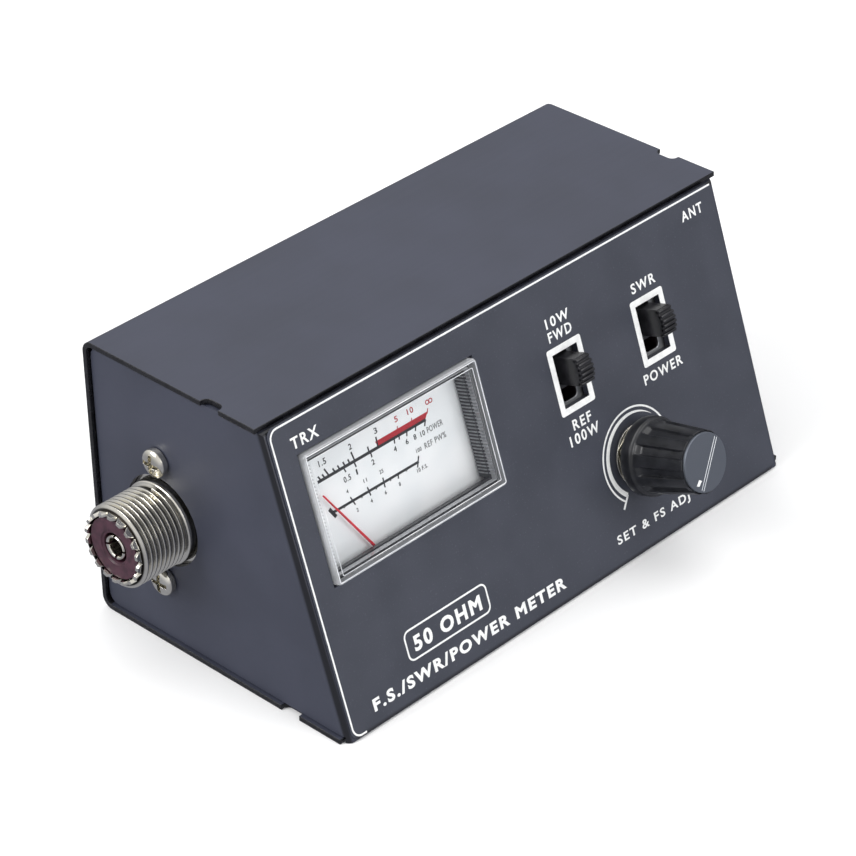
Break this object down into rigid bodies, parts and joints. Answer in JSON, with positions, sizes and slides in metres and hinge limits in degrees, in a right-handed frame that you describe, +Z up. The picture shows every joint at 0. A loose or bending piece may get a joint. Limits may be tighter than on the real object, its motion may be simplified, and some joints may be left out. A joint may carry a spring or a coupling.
{
  "type": "swr and power meter",
  "caption": "Wedge-shaped table-top SWR and power meter in sheet steel, with a moving-coil meter, slide switches, a set knob and coaxial sockets on its sides.",
  "frame": {"origin": "middle of the flat underside of the case", "axes": "+Z up, +X towards the antenna socket (the right seen from the front), the sloping front faces -Y"},
  "size_m": [0.1428, 0.0766, 0.057],
  "materials": {
    "coat": "fine-textured black powder coat, semi-matt",
    "label": "printed black polyester overlay",
    "nickel": "nickel plating",
    "steel": "zinc-plated steel",
    "phenolic": "maroon phenolic",
    "clear": "clear moulded acrylic",
    "black_plastic": "black moulded plastic",
    "dial": "white printed dial",
    "magnet": "sintered magnet",
    "brass": "brass",
    "copper": "copper",
    "needle": "red paint",
    "knob": "black moulded knob",
    "cap": "dark satin end disc",
    "board": "circuit board laminate",
    "component": "component coating",
    "glass_body": "glass diode body",
    "wire_red": "red wire insulation",
    "wire_black": "black wire insulation"
  },
  "bodies": {
    "root": {"case_cover": "coat", "case_chassis": "coat", "front_label": "label", "case_screw_1": "steel", "case_screw_2": "steel", "case_screw_3": "steel", "case_screw_4": "steel", "trx_socket_shell": "nickel", "trx_socket_insulator": "phenolic", "trx_socket_contact": "nickel", "trx_screw_upper": "nickel", "trx_screw_lower": "nickel", "trx_nut_upper": "steel", "trx_nut_lower": "steel", "trx_board_bracket": "steel", "ant_socket_shell": "nickel", "ant_socket_insulator": "phenolic", "ant_socket_contact": "nickel", "ant_screw_upper": "nickel", "ant_screw_lower": "nickel", "ant_nut_upper": "steel", "ant_nut_lower": "steel", "ant_board_bracket": "steel", "meter_window": "clear", "meter_case": "black_plastic", "meter_back": "black_plastic", "meter_dial": "dial", "meter_terminal_left": "brass", "meter_terminal_right": "brass", "meter_yoke": "steel", "meter_magnet": "magnet", "meter_bridge_front": "brass", "meter_bridge_rear": "brass", "meter_hairspring": "brass", "range_switch_frame": "steel", "range_switch_base": "phenolic", "mode_switch_frame": "steel", "mode_switch_base": "phenolic", "set_pot_body": "steel", "set_pot_terminals": "phenolic", "set_pot_bushing": "nickel", "set_pot_washer": "nickel", "set_pot_nut": "nickel", "coupler_board": "board", "through_line": "copper", "forward_diode": "glass_body", "forward_resistor": "component", "forward_capacitor": "component", "reflected_diode": "glass_body", "reflected_resistor": "component", "reflected_capacitor": "component", "meter_lead_left": "wire_red", "meter_lead_right": "wire_black"},
    "pointer": {"meter_coil": "copper", "meter_pointer": "needle"},
    "range_slider": {"range_switch_slider": "black_plastic"},
    "mode_slider": {"mode_switch_slider": "black_plastic"},
    "knob": {"set_knob": "knob", "set_knob_cap": "cap", "set_pot_shaft": "nickel"}
  },
  "joints": [
    {"name": "pointer_swing", "type": "hinge", "parent": "root", "child": "pointer", "pos_m": [-0.0338, -0.02518, 0.0181], "axis": [0, 0.9489, -0.3156], "range_deg": [0, 62], "stiffness_Nm_per_rad": 0.0002},
    {"name": "range_slide", "type": "slide", "parent": "root", "child": "range_slider", "axis": [0, -0.3156, -0.9489], "range_m": [0, 0.003]},
    {"name": "mode_slide", "type": "slide", "parent": "root", "child": "mode_slider", "axis": [0, -0.3156, -0.9489], "range_m": [0, 0.003]},
    {"name": "knob_turn", "type": "hinge", "parent": "root", "child": "knob", "pos_m": [0.02295, -0.02538, 0.0175], "axis": [0, 0.9489, -0.3156], "range_deg": [0, 300]}
  ]
}
